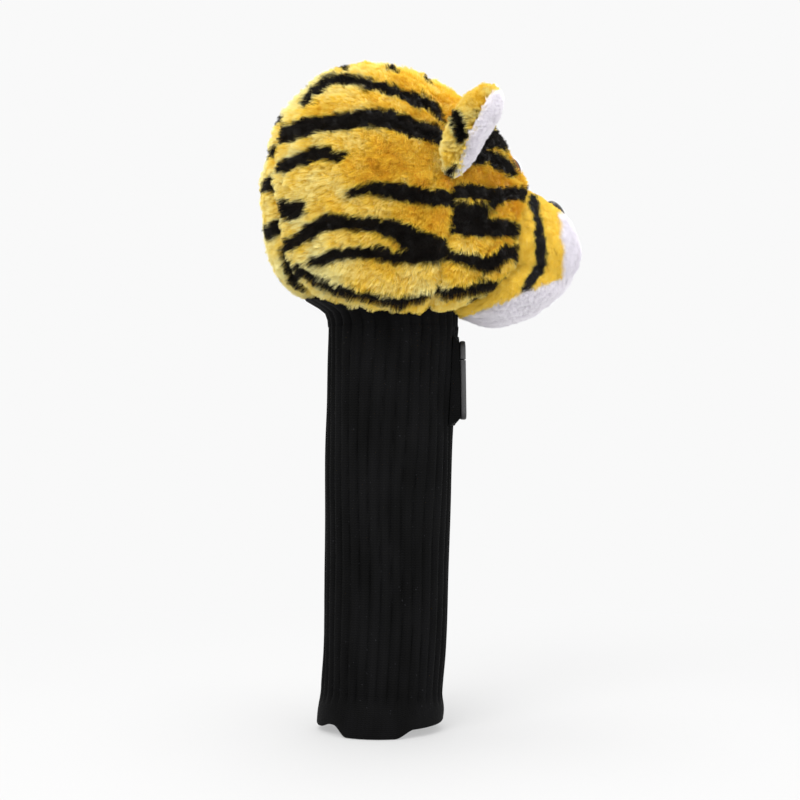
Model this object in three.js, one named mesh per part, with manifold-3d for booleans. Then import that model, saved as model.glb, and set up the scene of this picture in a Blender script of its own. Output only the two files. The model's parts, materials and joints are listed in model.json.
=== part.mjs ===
// A plush tiger head cover for a golf driver: a striped fur head with a padded pocket inside, two sewn
// ears, a white muzzle and jaw, and a long black rib-knit sleeve that grips the club's shaft.
// Millimetres, +Z up, the face looks along +X. The group's origin lies under the middle of the overall
// box, level with the hem's lower edge. Inside the file, X is measured from the sleeve's axis.
import * as THREE from "three";
import { mergeVertices } from "three/addons/utils/BufferGeometryUtils.js";
import Module from "manifold-3d";

const wasm = await Module();
wasm.setup();

// Driving dimensions.
const FAR = 300; // reaches past the whole cover, for cutting blocks
const UNDER_HEAD_Z = 200; // cuts that open the head from below start here
const GAP = 0.6; // between two panels that are sewn to each other
const ROUND = 28; // flat sides around a big round piece

const HEAD = {
  backX: -74.5, // back of the head at its widest level
  halfLength: 81,
  halfWidth: 75,
  widestZ: 304,
  up: 90, // from the widest level to the crown
  down: 60, // from the widest level to the underside
  crownShift: -18, // the crown sits this far behind the middle
  chinShift: 3,
  sideSag: 22, // the cheeks hang lower than the front and back
  jowls: 2 / 3, // 1 would leave the lower half an ellipsoid
  faceBluntness: 2.5, // 2 would leave the face an ellipse, seen from above
};
const HEAD_CENTRE_X = HEAD.backX + HEAD.halfLength;
const FUR = 6; // pile and backing
const PADDING = 8;
const LINING = 1.6;
const LAYER_GAP = 1.2;
const NECK_HOLE = { fur: 50, padding: 41, lining: 37 }; // radius of the opening through each layer
const CLUB_SEAT_Z = 373.8; // flat top of the pocket, where the club's head bears

// Seams of the head. The one over the ears bows forward halfway down; the back panel is an almond.
const EAR_SEAM = { topZ: 410, lowZ: 220, endX: 15, bowX: 62, bowZ: 312 };
const NAPE = { topZ: 380, lowZ: 220, lowHalf: 22, bowHalf: 60, bowZ: 304, frontX: -20 };

const MUZZLE = { x: 74, z: 286, long: 42, wide: 43, high: 31, tilt: 30, bandX: 97 };
const MUZZLE_SKIN = 5;
const JAW = { x: 71, z: 258, long: 36, wide: 44, high: 21, tilt: 14 };
const MOUTH = { x: 110, z: 267, tilt: 22 }; // a plane that falls towards the neck

const EAR = { x: 47.5, y: -67, z: 341, radius: 29.5, frontBulge: 10.5, backBulge: 14.5, lean: 26 };
const EAR_BASE = { clearance: 3, thinning: 0.72, from: -14, to: 12 }; // where the cushion gets thin
const EYE = { turn: -14, lift: 17, radius: 7, dome: 4.4, sunk: 3.2 }; // sunk below the tips of the fur
const SHANK = { radius: 2.4, length: 10, hole: 2.7 }; // stem of an eye or the nose
const WASHER = { eye: 8, nose: 7, thick: 1.2, behind: 1.2 }; // behind: from the skin to the washer
const NOSE = { x: 98.9, z: 304.4, long: 3.5, wide: 11, high: 7.5, tilt: 39 };

const SLEEVE = { wall: 2.2, lowZ: 24.5, topZ: 236.5, sideRatio: 0.93 };
const SLEEVE_RADII = { top: 38.5, middle: 37.2, low: 36 };
const SLEEVE_LEAN = { top: 3, low: -4.5 }; // where the tube's centre lies at its two ends
const HEM = { height: 24, wall: 3.4, flare: 1.4 };
const ELASTIC = { radius: 35.1, thick: 1.2, lowZ: 226, highZ: 234 };
const GATHER = {
  x: -3, // where its rim is centred
  lowZ: 237.4,
  highZ: 250,
  // Radius and height, from the sleeve up the outside to the rim and back down the inside.
  outside: [[37, 237.4], [40.5, 237.8], [45, 244.4], [48.4, 247.4]],
  inside: [[48.4, 250], [45.4, 250], [39, 241], [37, 240]],
};
const TAG = { frontX: 45.4, highZ: 228, grooveZ: 217, lowZ: 182, width: 28, tilt: 0.8, corner: 5 };
const TAG_BLOCK = 9; // the tag is cut from a block this deep, hollowed to fit the round sleeve
const BACKING = { lowZ: 178, highZ: 231, width: 32, thick: 1.2, gap: 0.35 };

// Geometry to solid and back. manifold-3d wants shared vertices and nothing but positions.
function solidOf(geometry) {
  const bare = geometry.clone();
  bare.deleteAttribute("normal");
  bare.deleteAttribute("uv");
  const merged = mergeVertices(bare, 1e-4);
  return new wasm.Manifold(
    new wasm.Mesh({
      numProp: 3,
      vertProperties: new Float32Array(merged.attributes.position.array),
      triVerts: new Uint32Array(merged.index.array),
    }),
  );
}

function geometryOf(solid) {
  const mesh = solid.getMesh();
  const geometry = new THREE.BufferGeometry();
  geometry.setAttribute("position", new THREE.BufferAttribute(new Float32Array(mesh.vertProperties), 3));
  geometry.setIndex(new THREE.BufferAttribute(new Uint32Array(mesh.triVerts), 1));
  geometry.computeVertexNormals();
  return geometry;
}

// Moves each vertex of a geometry by a function that changes the point it is given.
function bend(geometry, change) {
  const position = geometry.attributes.position;
  const point = new THREE.Vector3();
  for (let i = 0; i < position.count; i++) {
    point.fromBufferAttribute(position, i);
    change(point);
    position.setXYZ(i, point.x, point.y, point.z);
  }
  return geometry;
}

const unitSphere = (around, over) => new THREE.SphereGeometry(1, around, over).rotateX(Math.PI / 2);

// A block given by its lowest and highest X, Y and Z. A side that isn't given lies far away.
function block({ x = [-FAR, FAR], y = [-FAR, FAR], z = [-FAR, 2 * FAR] }) {
  const geometry = new THREE.BoxGeometry(x[1] - x[0], y[1] - y[0], z[1] - z[0]);
  return solidOf(geometry.translate((x[0] + x[1]) / 2, (y[0] + y[1]) / 2, (z[0] + z[1]) / 2));
}

// A place for something, turned about the Y axis by some degrees (its +X end dips when they are positive).
function placeAt(x, y, z, turn = 0) {
  const rotation = new THREE.Matrix4().makeRotationY(THREE.MathUtils.degToRad(turn));
  return new THREE.Matrix4().makeTranslation(x, y, z).multiply(rotation);
}

const mirrorY = new THREE.Matrix4().makeScale(1, -1, 1);
const moved = (solid, matrix) => solid.transform([...matrix.elements]);
const bothSides = (solid) => solid.add(moved(solid, mirrorY));

function ellipsoid(long, wide, high, place, around = 24, over = 14) {
  return moved(solidOf(unitSphere(around, over).scale(long, wide, high)), place);
}

function upright(radius, lowZ, highZ, x = 0, y = 0) {
  const geometry = new THREE.CylinderGeometry(radius, radius, highZ - lowZ, ROUND).rotateX(Math.PI / 2);
  return solidOf(geometry.translate(x, y, (lowZ + highZ) / 2));
}

// A cylinder whose axis is X, from x0 to x1.
function rod(radius, x0, x1, sides = 14) {
  const geometry = new THREE.CylinderGeometry(radius, radius, x1 - x0, sides).rotateZ(Math.PI / 2);
  return solidOf(geometry.translate((x0 + x1) / 2, 0, 0));
}

const shankHole = (radius) => rod(radius, -20, 20);

// A cut can leave a stray sliver, so this keeps the biggest body.
function biggest(solid) {
  return solid.decompose().reduce((a, b) => (a.volume() > b.volume() ? a : b));
}

// Stretches a point of the unit sphere onto the head's outline, or onto a layer under it. The head is an
// ellipsoid above the widest level and fuller below it, and its face is blunter than its back.
function onHead(p, inset = 0) {
  const level = p.z;
  const ring = Math.max(Math.hypot(p.x, p.y), 1e-9);
  const blunt = p.x > 0 ? HEAD.faceBluntness : 2;
  const corner = ring * (Math.abs(p.x) ** blunt + Math.abs(p.y) ** blunt + 1e-40) ** (-1 / blunt);
  const swell = corner * (level < 0 ? ring ** (HEAD.jowls - 1) : 1);
  const drop = Math.max(0, -level) ** HEAD.jowls;
  const across = p.y * swell;
  const shift = level > 0 ? HEAD.crownShift * level : HEAD.chinShift * drop;
  p.x = HEAD_CENTRE_X + shift + p.x * swell * (HEAD.halfLength - inset);
  p.y = across * (HEAD.halfWidth - inset);
  p.z = HEAD.widestZ + (level > 0 ? level * (HEAD.up - inset) : -drop * (HEAD.down - inset));
  p.z -= HEAD.sideSag * drop * across ** 2;
}

const headForm = (inset, around = ROUND, over = 18) =>
  solidOf(bend(unitSphere(around, over), (p) => onHead(p, inset)));

const softForm = (inset) => headForm(inset, 20, 12);

// Everything in front of the seam that crosses the head over the ears, from the crown to the throat.
function frontOfSeam(setBack) {
  const { topZ, lowZ, endX, bowX, bowZ } = EAR_SEAM;
  const shape = new THREE.Shape();
  shape.moveTo(endX + setBack, topZ);
  shape.quadraticCurveTo(bowX + setBack, bowZ, endX + setBack, lowZ);
  shape.lineTo(FAR, lowZ);
  shape.lineTo(FAR, topZ);
  return solidOf(alongY(shape, 24));
}

// A shape drawn in X and Z, as a slab across the whole width.
function alongY(shape, curveSegments) {
  const settings = { depth: 2 * FAR, bevelEnabled: false, curveSegments };
  return new THREE.ExtrudeGeometry(shape, settings).rotateX(Math.PI / 2).translate(0, FAR, 0);
}

// The back panel's almond, seen from behind, which runs to a point near the crown.
function napeRegion(margin) {
  const { topZ, lowZ, lowHalf, bowHalf, bowZ, frontX } = NAPE;
  const shape = new THREE.Shape();
  shape.moveTo(0, topZ + 2 * margin);
  shape.quadraticCurveTo(bowHalf + 2 * margin, bowZ, lowHalf + margin, lowZ);
  shape.lineTo(-lowHalf - margin, lowZ);
  shape.quadraticCurveTo(-bowHalf - 2 * margin, bowZ, 0, topZ + 2 * margin);
  const settings = { depth: FAR, bevelEnabled: false, curveSegments: 16 };
  const geometry = new THREE.ExtrudeGeometry(shape, settings);
  // Drawn in Y and Z, it reaches from the middle of the head back past the nape.
  geometry.applyMatrix4(new THREE.Matrix4().set(0, 0, -1, frontX, -1, 0, 0, 0, 0, 1, 0, 0, 0, 0, 0, 1));
  return solidOf(geometry);
}

const muzzlePlace = placeAt(MUZZLE.x, 0, MUZZLE.z, MUZZLE.tilt);
const muzzleForm = (inset) =>
  ellipsoid(MUZZLE.long - inset, MUZZLE.wide - inset, MUZZLE.high - inset, muzzlePlace);
const jawForm = (inset) =>
  ellipsoid(JAW.long - inset, JAW.wide - inset, JAW.high - inset, placeAt(JAW.x, 0, JAW.z, -JAW.tilt));

// Everything above the mouth, whose line falls from the lips towards the neck.
function aboveMouth(margin) {
  return moved(block({ z: [margin, FAR] }), placeAt(MOUTH.x, 0, MOUTH.z, -MOUTH.tilt));
}

// Everything on the right side of the cover, with a little left clear at the middle seam.
const rightHalf = block({ y: [-FAR, -GAP / 2] });
const neckHole = upright(NECK_HOLE.fur, UNDER_HEAD_Z, HEAD.widestZ, GATHER.x);

const nosePlace = placeAt(NOSE.x, 0, NOSE.z, -NOSE.tilt);

// A point of the head's outline, turned from the face towards a side and lifted, in degrees.
function headPoint(turn, lift) {
  const side = THREE.MathUtils.degToRad(turn);
  const up = THREE.MathUtils.degToRad(lift);
  const p = new THREE.Vector3(Math.cos(side) * Math.cos(up), Math.sin(side) * Math.cos(up), Math.sin(up));
  onHead(p);
  return p;
}

// The place of an eye: on the tips of the fur, with X along the surface's normal.
function placeOnHead(turn, lift) {
  const centre = headPoint(turn, lift);
  const below = headPoint(turn, lift - 1).sub(centre);
  const inward = headPoint(turn + 1, lift).sub(centre);
  const normal = new THREE.Vector3().crossVectors(below, inward).normalize();
  const turned = new THREE.Quaternion().setFromUnitVectors(new THREE.Vector3(1, 0, 0), normal);
  return new THREE.Matrix4().compose(centre, turned, new THREE.Vector3(1, 1, 1));
}

const eyePlace = placeOnHead(EYE.turn, EYE.lift);

// Fur panels of the head.
const furShell = headForm(0).subtract(headForm(FUR)).subtract(neckHole);
const muzzleRoom = muzzleForm(-GAP);
const jawRoom = jawForm(-GAP);

function sidePanel() {
  return biggest(furShell.subtract(frontOfSeam(-GAP)).subtract(napeRegion(GAP)).intersect(rightHalf));
}

function napePanel() {
  return biggest(furShell.intersect(napeRegion(0)));
}

function facePanel() {
  const eyeSeat = rod(EYE.radius + GAP, -EYE.sunk, FUR);
  const eyeHole = moved(eyeSeat.add(shankHole(SHANK.hole)), eyePlace);
  const front = furShell.intersect(frontOfSeam(0)).intersect(rightHalf);
  return biggest(front.subtract(muzzleRoom).subtract(jawRoom).subtract(eyeHole));
}

// Snout: a fur band over the bridge, two white pads in front of it, and a white jaw under both.
const snoutForm = (inset) => muzzleForm(inset).add(jawForm(inset));
const gatherRoom = upright(NECK_HOLE.fur, UNDER_HEAD_Z, GATHER.highZ + 1, GATHER.x);
const sleeveRoom = upright(SLEEVE_RADII.top + 3.2, UNDER_HEAD_Z, HEAD.widestZ, SLEEVE_LEAN.top);
const besideSnout = headForm(-GAP).add(gatherRoom).add(sleeveRoom);
const snoutSkin = snoutForm(0).subtract(snoutForm(MUZZLE_SKIN)).subtract(besideSnout);

const noseDome = (margin) =>
  solidOf(unitSphere(16, 10).scale(NOSE.long + margin, NOSE.wide + margin, NOSE.high + margin));
const noseRoom = moved(noseDome(0.5).add(shankHole(SHANK.hole)), nosePlace);
const muzzleShell = snoutSkin.intersect(aboveMouth(GAP / 2)).subtract(noseRoom);

function snoutBand() {
  return biggest(muzzleShell.intersect(block({ x: [0, MUZZLE.bandX] })));
}

function muzzlePad() {
  return biggest(muzzleShell.intersect(rightHalf).intersect(block({ x: [MUZZLE.bandX + GAP, FAR] })));
}

function jawPanel() {
  return biggest(snoutSkin.subtract(aboveMouth(-GAP / 2)));
}

// Soft layers inside. They leave room for a shank and its washer behind the skin.
const lockRoom = (radius, skin) => rod(radius + 0.6, -skin - 5, -skin + 1).add(shankHole(SHANK.hole + 0.3));
const eyePocket = bothSides(moved(lockRoom(WASHER.eye, FUR), eyePlace));

function headPadding() {
  const inset = FUR + LAYER_GAP;
  const hole = upright(NECK_HOLE.padding, UNDER_HEAD_Z, HEAD.widestZ).add(gatherRoom);
  const layer = softForm(inset).subtract(softForm(inset + PADDING));
  return biggest(layer.subtract(hole).subtract(eyePocket));
}

// The lining is thicker at its top, where a flat seat takes the club's head.
function pocketLining() {
  const inset = FUR + PADDING + 2 * LAYER_GAP;
  const pocket = softForm(inset + LINING).intersect(block({ z: [0, CLUB_SEAT_Z] }));
  const hole = upright(NECK_HOLE.lining, UNDER_HEAD_Z, HEAD.widestZ);
  return biggest(softForm(inset).subtract(pocket).subtract(hole));
}

// One lump of fibre fills the snout.
function muzzleStuffing() {
  const washerPocket = moved(lockRoom(WASHER.nose, MUZZLE_SKIN), nosePlace);
  return biggest(snoutForm(MUZZLE_SKIN + LAYER_GAP).subtract(besideSnout).subtract(washerPocket));
}

// One ear in its own frame: X is its thickness, Y runs outwards and Z along its long axis. It is a
// cushion that gets thin where it is sewn to the head, so it can fold there.
const earPlace = placeAt(EAR.x, EAR.y, EAR.z, EAR.lean);

function earHalf(isFront) {
  const bulge = isFront ? EAR.frontBulge : EAR.backBulge;
  const cushion = bend(unitSphere(22, 14).scale(bulge, EAR.radius, EAR.radius), (p) => {
    p.x *= 1 - EAR_BASE.thinning * THREE.MathUtils.smoothstep(p.y, EAR_BASE.from, EAR_BASE.to);
  });
  const half = block({ x: isFront ? [GAP / 2, FAR] : [-FAR, -GAP / 2] });
  const headRoom = moved(headForm(-EAR_BASE.clearance), earPlace.clone().invert());
  return biggest(solidOf(cushion).intersect(half).subtract(headRoom));
}

// A plastic safety eye on its shank, and the washer that locks it behind the fur.
const shank = () => rod(SHANK.radius, -SHANK.length, 1);
const domeRoom = block({ x: [GAP / 2, FAR] });

function eyeDome() {
  const dome = solidOf(unitSphere(16, 10).scale(EYE.dome, EYE.radius, EYE.radius));
  return dome.intersect(domeRoom).add(shank()).translate(-EYE.sunk, 0, 0);
}

function washer(radius, skin) {
  const face = -skin - WASHER.behind;
  return rod(radius, face - WASHER.thick, face).subtract(shankHole(SHANK.hole));
}

// Knit sleeve: a tube that leans back a little and narrows downwards.
function tubeRadius(z) {
  const t = THREE.MathUtils.clamp((z - SLEEVE.lowZ) / (SLEEVE.topZ - SLEEVE.lowZ), 0, 1);
  const { top, middle, low } = SLEEVE_RADII;
  return t > 0.5 ? THREE.MathUtils.lerp(middle, top, 2 * t - 1) : THREE.MathUtils.lerp(low, middle, 2 * t);
}

function tubeCentre(z) {
  const t = (z - SLEEVE.lowZ) / (SLEEVE.topZ - SLEEVE.lowZ);
  return THREE.MathUtils.lerp(SLEEVE_LEAN.low, SLEEVE_LEAN.top, t);
}

// A ring of knit between two levels. outerAt gives the outer radius at a level.
function knitTube(lowZ, highZ, steps, wall, outerAt) {
  const outer = [];
  const inner = [];
  for (let i = 0; i <= steps; i++) {
    const z = lowZ + ((highZ - lowZ) * i) / steps;
    outer.push(new THREE.Vector2(outerAt(z), z));
    inner.unshift(new THREE.Vector2(outerAt(z) - wall, z));
  }
  const profile = [...outer, ...inner, outer[0].clone()];
  const geometry = new THREE.LatheGeometry(profile, ROUND).rotateX(Math.PI / 2);
  return solidOf(
    bend(geometry, (p) => {
      p.x += tubeCentre(p.z);
      p.y *= SLEEVE.sideRatio;
    }),
  );
}

const sleeveTube = () => knitTube(SLEEVE.lowZ, SLEEVE.topZ, 6, SLEEVE.wall, tubeRadius);
const hemRadius = (z) => tubeRadius(z) + 0.6 + HEM.flare * (1 - z / HEM.height);
const hemBand = () => knitTube(0, HEM.height, 4, HEM.wall, hemRadius);
const neckElastic = () => knitTube(ELASTIC.lowZ, ELASTIC.highZ, 1, ELASTIC.thick, () => ELASTIC.radius);

// The top of the knit, spread out like a funnel and sewn inside the opening under the head.
function neckGather() {
  const { x, lowZ, highZ, outside, inside } = GATHER;
  const profile = [...outside, ...inside, outside[0]].map(([r, z]) => new THREE.Vector2(r, z));
  const geometry = new THREE.LatheGeometry(profile, ROUND).rotateX(Math.PI / 2);
  return solidOf(
    bend(geometry, (p) => {
      p.x += THREE.MathUtils.mapLinear(p.z, lowZ, highZ, SLEEVE_LEAN.top, x);
    }),
  );
}

// A cloth backing sewn to the front of the sleeve, curved like the sleeve.
function tagBacking() {
  const { lowZ, highZ, width, thick, gap } = BACKING;
  const band = knitTube(lowZ, highZ, 2, thick, (z) => tubeRadius(z) + gap + thick);
  return biggest(band.intersect(block({ x: [0, FAR], y: [-width / 2, width / 2] })));
}

// Grey rubber tag: a top part sewn to the backing and a flap that hangs from a groove. Its place is on
// the tag's front face at the groove, where Z runs up the tag and X points forwards.
const tagPlace = placeAt(TAG.frontX, 0, TAG.grooveZ, -TAG.tilt);

function tagPlate(lowZ, highZ, roundedTop) {
  const half = TAG.width / 2;
  const c = TAG.corner;
  const [flat, far] = roundedTop ? [lowZ, highZ] : [highZ, lowZ];
  const turn = Math.sign(far - flat);
  const shape = new THREE.Shape();
  shape.moveTo(half, flat);
  shape.lineTo(half, far - turn * c);
  shape.absarc(half - c, far - turn * c, c, 0, (turn * Math.PI) / 2, turn < 0);
  shape.lineTo(-half + c, far);
  shape.absarc(-half + c, far - turn * c, c, (turn * Math.PI) / 2, turn * Math.PI, turn < 0);
  shape.lineTo(-half, flat);
  const settings = { depth: TAG_BLOCK, bevelEnabled: false, curveSegments: 5 };
  // The shape was drawn in Y and Z, with its thickness along X.
  const standing = new THREE.Matrix4().set(0, 0, 1, -TAG_BLOCK, 1, 0, 0, 0, 0, 1, 0, 0, 0, 0, 0, 1);
  const plate = solidOf(new THREE.ExtrudeGeometry(shape, settings).applyMatrix4(standing));
  // The back of the plate follows the sleeve and its backing.
  const behind = (z) => tubeRadius(z) + 2 * BACKING.gap + BACKING.thick;
  const sleeveSide = knitTube(BACKING.lowZ - 5, BACKING.highZ + 5, 2, TAG_BLOCK, behind);
  return geometryOf(biggest(plate.subtract(moved(sleeveSide, tagPlace.clone().invert()))));
}

// Materials.
const plain = (color, roughness) => new THREE.MeshStandardMaterial({ color, roughness, metalness: 0 });
const fabric = (color) => plain(color, 0.95);
const stripedFur = fabric("#e2ac2c");
const whitePlush = fabric("#dcd6dd");
const blackKnit = fabric("#121212");
const liningCloth = fabric("#2a2a2c");
const fibrefill = fabric("#f0efe9");
const elasticRubber = plain("#e6e2d8", 0.8);
const greyRubber = plain("#4c4c4c", 0.6);
const eyePlastic = plain("#8a4a12", 0.12);
const blackPlastic = plain("#141212", 0.35);
const washerPlastic = plain("#e9e9e4", 0.5);

function piece(parent, name, geometry, material) {
  const mesh = new THREE.Mesh(geometry, material);
  mesh.name = name;
  parent.add(mesh);
  return mesh;
}

const cover = new THREE.Group();

// Pieces that come in pairs are built for the right side; the left side is their mirror image.
const sides = { right: new THREE.Group(), left: new THREE.Group() };
sides.left.scale.y = -1;
cover.add(sides.right, sides.left);

const paired = {
  side_panel: [geometryOf(sidePanel()), stripedFur],
  face_panel: [geometryOf(facePanel()), stripedFur],
  muzzle_pad: [geometryOf(muzzlePad()), whitePlush],
};
const onEar = {
  ear_back: [geometryOf(earHalf(false)), stripedFur],
  ear_front: [geometryOf(earHalf(true)), whitePlush],
};
const onEye = {
  eye: [geometryOf(eyeDome()), eyePlastic],
  eye_washer: [geometryOf(washer(WASHER.eye, FUR)), washerPlastic],
};

for (const [side, group] of Object.entries(sides)) {
  const ear = new THREE.Group();
  ear.applyMatrix4(earPlace);
  const eye = new THREE.Group();
  eye.applyMatrix4(eyePlace);
  group.add(ear, eye);
  for (const [parent, set] of [[group, paired], [ear, onEar], [eye, onEye]]) {
    for (const [name, [geometry, material]] of Object.entries(set)) {
      piece(parent, `${side}_${name}`, geometry, material);
    }
  }
}

piece(cover, "nape_panel", geometryOf(napePanel()), stripedFur);
piece(cover, "snout_band", geometryOf(snoutBand()), stripedFur);
piece(cover, "jaw_panel", geometryOf(jawPanel()), whitePlush);
piece(cover, "head_padding", geometryOf(headPadding()), fibrefill);
piece(cover, "pocket_lining", geometryOf(pocketLining()), liningCloth);
piece(cover, "muzzle_stuffing", geometryOf(muzzleStuffing()), fibrefill);
piece(cover, "neck_gather", geometryOf(neckGather()), blackKnit);
piece(cover, "neck_elastic", geometryOf(neckElastic()), elasticRubber);
piece(cover, "knit_sleeve", geometryOf(sleeveTube()), blackKnit);
piece(cover, "hem_band", geometryOf(hemBand()), blackKnit);

const nose = new THREE.Group();
nose.applyMatrix4(nosePlace);
cover.add(nose);
piece(nose, "nose", geometryOf(noseDome(0).intersect(domeRoom).add(shank())), blackPlastic);
piece(nose, "nose_washer", geometryOf(washer(WASHER.nose, MUZZLE_SKIN)), washerPlastic);

piece(cover, "tag_backing", geometryOf(tagBacking()), blackKnit);

const tag = new THREE.Group();
tag.applyMatrix4(tagPlace);
cover.add(tag);
piece(tag, "tag_top", tagPlate(GAP / 2, TAG.highZ - TAG.grooveZ, true), greyRubber);
piece(tag, "tag_flap", tagPlate(TAG.lowZ - TAG.grooveZ, -GAP / 2, false), greyRubber);

// The origin goes under the middle of the overall box.
const box = new THREE.Box3().setFromObject(cover, true);
cover.position.x = -(box.min.x + box.max.x) / 2;

export default cover;
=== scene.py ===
"""A plush tiger head cover for a golf driver, dressed in striped pile, white plush and black rib knit.

Shapes are worked out in millimetres, with X measured from the sleeve's axis and the face looking along
+X, then placed in the row frame in metres.
"""

import json
import math

import bmesh
import bpy
import numpy as np
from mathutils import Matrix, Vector


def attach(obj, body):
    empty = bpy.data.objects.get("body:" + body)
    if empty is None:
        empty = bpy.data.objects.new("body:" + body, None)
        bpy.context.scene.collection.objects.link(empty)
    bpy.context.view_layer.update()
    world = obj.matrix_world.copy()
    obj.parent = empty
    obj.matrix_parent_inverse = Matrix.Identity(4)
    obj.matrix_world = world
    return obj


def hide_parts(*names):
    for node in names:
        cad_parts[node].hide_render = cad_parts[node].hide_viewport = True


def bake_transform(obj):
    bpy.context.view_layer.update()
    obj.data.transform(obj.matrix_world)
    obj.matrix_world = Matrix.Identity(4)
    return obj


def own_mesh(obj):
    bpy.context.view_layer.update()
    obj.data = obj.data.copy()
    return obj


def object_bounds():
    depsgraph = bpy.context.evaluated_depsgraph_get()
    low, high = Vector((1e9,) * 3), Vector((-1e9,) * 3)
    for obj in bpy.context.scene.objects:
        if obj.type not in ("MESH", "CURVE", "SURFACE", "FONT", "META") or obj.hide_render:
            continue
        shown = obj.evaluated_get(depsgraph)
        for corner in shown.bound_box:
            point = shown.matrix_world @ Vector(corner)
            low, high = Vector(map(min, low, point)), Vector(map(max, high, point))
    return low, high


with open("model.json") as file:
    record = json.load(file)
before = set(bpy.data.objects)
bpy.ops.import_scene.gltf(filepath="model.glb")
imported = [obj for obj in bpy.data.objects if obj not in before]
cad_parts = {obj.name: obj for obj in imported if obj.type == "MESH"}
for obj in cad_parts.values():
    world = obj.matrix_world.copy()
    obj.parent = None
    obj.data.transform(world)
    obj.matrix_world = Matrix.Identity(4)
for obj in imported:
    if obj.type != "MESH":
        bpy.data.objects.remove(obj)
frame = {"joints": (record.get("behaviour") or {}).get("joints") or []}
cad_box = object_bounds()
joints = {joint["name"]: joint for joint in frame["joints"]}

MM = 0.001
AXIS_X = joints["neck_nod"]["pos_m"][0] / MM  # the sleeve's axis in the row frame
VIEW_DISTANCE = 950  # how far away the camera stands, where the stripes line up with the picture
VIEW_MIDDLE = np.array([7.0, 193.0])  # the cover's middle as seen from there, as X and Z

# Head, as on the frame.
HEAD = {
    "back_x": -74.5,
    "half_length": 81,
    "half_width": 75,
    "widest_z": 304,
    "up": 90,
    "down": 60,
    "crown_shift": -18,
    "chin_shift": 3,
    "side_sag": 22,
    "jowls": 2 / 3,
    "face_bluntness": 2.5,
}
HEAD_X = HEAD["back_x"] + HEAD["half_length"]
UPPER_BACK = {"facing": (-0.86, 0.5), "press": 4.6}
CROWN_PRESS = 2.0
# Each seam runs from its first point to its last and bends towards its middle one.
EAR_SEAM = ((15, 410), (62, 312), (15, 220))  # X and Z
NAPE_SEAM = ((0, 380), (60, 304), (22, 220))  # half the panel's width, and Z
NAPE_FRONT_X = -20
MUZZLE = {"centre": (74, 0, 286), "radii": (42, 43, 31), "tilt": 30}
JAW = {"centre": (71, 0, 258), "radii": (36, 44, 21), "tilt": -14}
SNOUT_MIDDLE = (74, 0, 272)
SNOUT_FRONT = (101, 0, 276)
MOUTH = {"x": 110, "z": 267, "tilt": 22}
BAND_X = 97  # the seam between the snout's band and its pads
SNOUT_FADE = (99, 107)  # where the snout turns from gold to white
NECK_HOLE = {"x": -3, "radius": 46.5}
# The eyes sit 2.6 mm deeper than on the frame, because the pile stands round them.
EYE = {"turn": -14, "lift": 17, "radius": 7, "dome": 4.4, "sunk": 5.8, "ring": 1.2, "clear": 11}
EYE_SHANK = {"radius": 2.4, "length": 10}
EYE_WASHER = {"radius": 8, "sunk": 7.2}
NOSE = {"centre": (99.3, 0, 304.6), "depth": 3.7, "half_width": 11, "half_height": 7.6, "tilt": -39}
NOSE_WASHER = {"radius": 7, "sunk": 6.5, "seat": (98.9, 0, 304.4)}
EAR = {"centre": (47.5, -67, 341), "radius": 29.5, "front": 10.5, "back": 16.5, "lean": 26}
SLEEVE = {"low_z": 24.5, "top_z": 236.5, "lean": (-4.5, 3), "radii": (36, 37.2, 38.5), "flat": 0.93}
RIBS = 34
RIB_DEPTH = 1.9
TAG = {"width": 28, "up": 11, "down": 35, "thick": 3.4, "corner": 5, "tilt": -0.8, "groove": 0.5}
TAG_FACE = (45.4, 0, 217)  # the groove, on the tag's front face
BACKING = {"low_z": 178.5, "top_z": 230.5, "half_angle": 0.43}

PILE = 4.7  # how far the backing lies under the tips of the pile
SHORT_PILE = 1.2
PILE_LENGTH = {"head": 5.2, "snout": 2.6, "ear_back": 4.8, "ear_front": 2.0}
COARSE, FINE = 0.16, 0.12  # fibres' radii
FUR_BACK, PLUSH_BACK, EAR_BACK = 1.8, 2.5, 1.2  # how thick the backings are
HEAD_LEAN = np.array([-0.35, 0, -0.4])  # which way the head's fibres lie
SHARP = math.radians(55)
MIRRORS = (("right", 1), ("left", -1))
PATTERN_SPAN = 40  # a stored distance to a stripe runs over this many millimetres

# ----- Shape tools -----


def to_row(points):
    """Millimetres from the sleeve's axis to metres in the row frame."""
    return (np.asarray(points, float) + (AXIS_X, 0, 0)) * MM


def ramp(value, low, high):
    """0 below low and 1 above high, with a smooth rise between."""
    t = np.clip((value - low) / (high - low), 0, 1)
    return t * t * (3 - 2 * t)


def lumps(points, size, seed, stretch=(1, 1, 1), waves=28):
    """Smooth random bumps about size millimetres across, mostly between -1 and 1."""
    rng = np.random.default_rng(seed)
    directions = rng.normal(size=(waves, 3))
    directions /= np.linalg.norm(directions, axis=1)[:, None]
    lengths = size * rng.uniform(0.8, 1.7, waves)
    phases = rng.uniform(0, 2 * math.pi, waves)
    angles = (points / np.array(stretch)) @ (directions * (2 * math.pi / lengths)[:, None]).T
    return np.sin(angles + phases).sum(axis=1) * math.sqrt(1 / waves)


def turn_y(degrees):
    """A matrix that turns points about Y, so that +X dips when the angle is positive."""
    c, s = math.cos(math.radians(degrees)), math.sin(math.radians(degrees))
    return np.array([[c, 0, s], [0, 1, 0], [-s, 0, c]])


def unit_sphere(level):
    ball = bmesh.new()
    bmesh.ops.create_icosphere(ball, subdivisions=level, radius=1)
    points = np.array([v.co for v in ball.verts])
    faces = np.array([[v.index for v in f.verts] for f in ball.faces])
    ball.free()
    return points / np.linalg.norm(points, axis=1)[:, None], faces


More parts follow.
